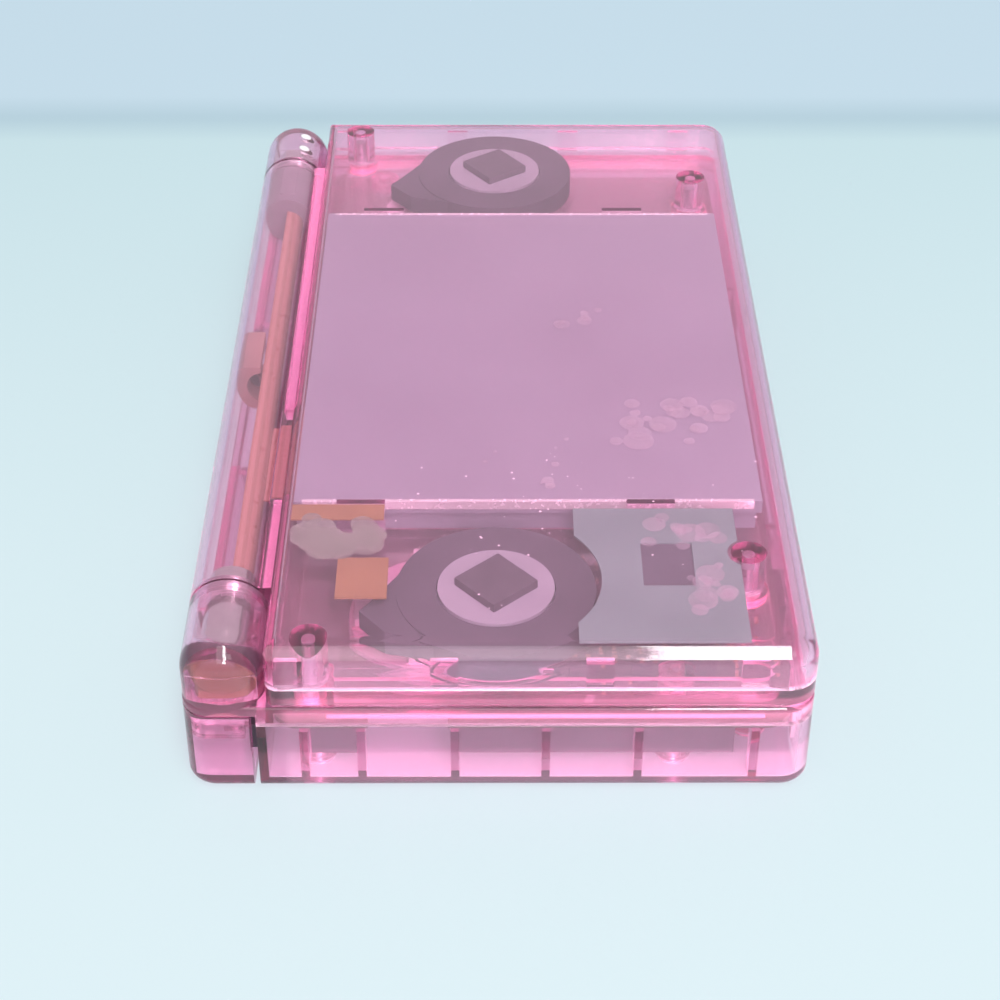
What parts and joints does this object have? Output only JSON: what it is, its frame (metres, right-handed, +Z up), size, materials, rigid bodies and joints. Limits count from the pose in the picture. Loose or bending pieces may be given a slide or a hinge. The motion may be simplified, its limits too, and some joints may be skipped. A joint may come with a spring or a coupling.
{
  "type": "clamshell handheld game console",
  "caption": "Closed clamshell handheld game console with a translucent pink shell, hinged lid, screens, direction pad, buttons, sliders, shoulder buttons and stylus.",
  "frame": {"origin": "centre of the closed console's outline, at the plane it rests on", "axes": "+X along the width towards the player's right, +Y from the front edge to the hinge, +Z up out of the lid"},
  "size_m": [0.133, 0.0738, 0.0215],
  "materials": {
    "shell_pink": "polished translucent pink",
    "button_white": "gloss",
    "lens_clear": "clear gloss",
    "display_mauve": "satin",
    "display_dark": "satin",
    "flex_orange": "satin",
    "rubber_dark": "matt",
    "rubber_pink": "matt",
    "rubber_grey": "matt",
    "rubber_brown": "matt",
    "steel": "satin",
    "bright_metal": "polished",
    "foil_grey": "dull",
    "black_plastic": "satin",
    "board_green": "solder resist",
    "window_clear": "gloss",
    "speaker_grey": "dull"
  },
  "bodies": {
    "base": {"hinge_cam": "bright_metal", "hinge_tube": "bright_metal", "base_upper": "shell_pink", "base_lower": "shell_pink", "battery_cover": "shell_pink", "battery_cover_screw": "steel", "battery_pack": "black_plastic", "main_board": "board_green", "wireless_module": "steel", "card_reader": "steel", "cartridge_connector": "black_plastic", "lower_display": "display_dark", "touch_glass": "lens_clear", "dpad_membrane": "rubber_grey", "button_membrane": "rubber_grey", "start_membrane": "rubber_grey", "power_switch": "black_plastic", "volume_switch": "black_plastic", "headphone_jack": "black_plastic", "charge_socket": "steel", "shoulder_pins": "steel", "shoulder_springs": "steel", "shoulder_switches": "black_plastic", "status_windows": "window_clear", "base_screws": "steel", "rubber_feet": "rubber_pink"},
    "lid": {"lid_cover": "shell_pink", "lid_bezel": "shell_pink", "upper_lens": "lens_clear", "upper_display": "display_mauve", "display_flex": "flex_orange", "tape_patch": "flex_orange", "speaker_left": "speaker_grey", "speaker_right": "speaker_grey", "speaker_boots": "rubber_dark", "speaker_pads": "rubber_dark", "antenna_foil": "foil_grey", "antenna_chip": "black_plastic", "microphone": "steel", "microphone_boot": "rubber_brown", "lid_screws": "steel", "lid_bumpers": "rubber_pink", "hinge_cartridge": "black_plastic"},
    "dpad": {"dpad": "button_white"},
    "button_a": {"button_a": "button_white"},
    "button_b": {"button_b": "button_white"},
    "button_x": {"button_x": "button_white"},
    "button_y": {"button_y": "button_white"},
    "start_button": {"start_button": "button_white"},
    "select_button": {"select_button": "button_white"},
    "power_slider": {"power_slider": "button_white"},
    "volume_slider": {"volume_slider": "button_white"},
    "shoulder_left": {"shoulder_left": "shell_pink"},
    "shoulder_right": {"shoulder_right": "shell_pink"},
    "stylus": {"stylus": "shell_pink"}
  },
  "joints": [
    {"name": "lid_hinge", "type": "hinge", "parent": "base", "child": "lid", "pos_m": [0, 0.03205, 0.0164], "axis": [-1, 0, 0], "range_deg": [0, 165]},
    {"name": "button_a_press", "type": "slide", "parent": "base", "child": "button_a", "axis": [0, 0, -1], "range_m": [0, 0.0007], "stiffness_N_per_m": 400},
    {"name": "button_b_press", "type": "slide", "parent": "base", "child": "button_b", "axis": [0, 0, -1], "range_m": [0, 0.0007], "stiffness_N_per_m": 400},
    {"name": "button_x_press", "type": "slide", "parent": "base", "child": "button_x", "axis": [0, 0, -1], "range_m": [0, 0.0007], "stiffness_N_per_m": 400},
    {"name": "button_y_press", "type": "slide", "parent": "base", "child": "button_y", "axis": [0, 0, -1], "range_m": [0, 0.0007], "stiffness_N_per_m": 400},
    {"name": "start_press", "type": "slide", "parent": "base", "child": "start_button", "axis": [0, 0, -1], "range_m": [0, 0.0003], "stiffness_N_per_m": 400},
    {"name": "select_press", "type": "slide", "parent": "base", "child": "select_button", "axis": [0, 0, -1], "range_m": [0, 0.0003], "stiffness_N_per_m": 400},
    {"name": "dpad_rock", "type": "hinge", "parent": "base", "child": "dpad", "pos_m": [-0.049, 0.007, 0.01015], "axis": [0, 1, 0], "range_deg": [-2.5, 2.5], "stiffness_Nm_per_rad": 0.09},
    {"name": "power_slide", "type": "slide", "parent": "base", "child": "power_slider", "axis": [0, 1, 0], "range_m": [0, 0.0025], "stiffness_N_per_m": 200},
    {"name": "volume_slide", "type": "slide", "parent": "base", "child": "volume_slider", "axis": [1, 0, 0], "range_m": [0, 0.01]},
    {"name": "shoulder_right_press", "type": "hinge", "parent": "base", "child": "shoulder_right", "pos_m": [0.0554, 0.03175, 0.006], "axis": [0, 0, -1], "range_deg": [0, 2.7], "stiffness_Nm_per_rad": 0.14},
    {"name": "shoulder_left_press", "type": "hinge", "parent": "base", "child": "shoulder_left", "pos_m": [-0.0554, 0.03175, 0.006], "axis": [0, 0, 1], "range_deg": [0, 2.7], "stiffness_Nm_per_rad": 0.14},
    {"name": "stylus_slide", "type": "slide", "parent": "base", "child": "stylus", "axis": [1, 0, 0], "range_m": [0, 0.0875]}
  ]
}
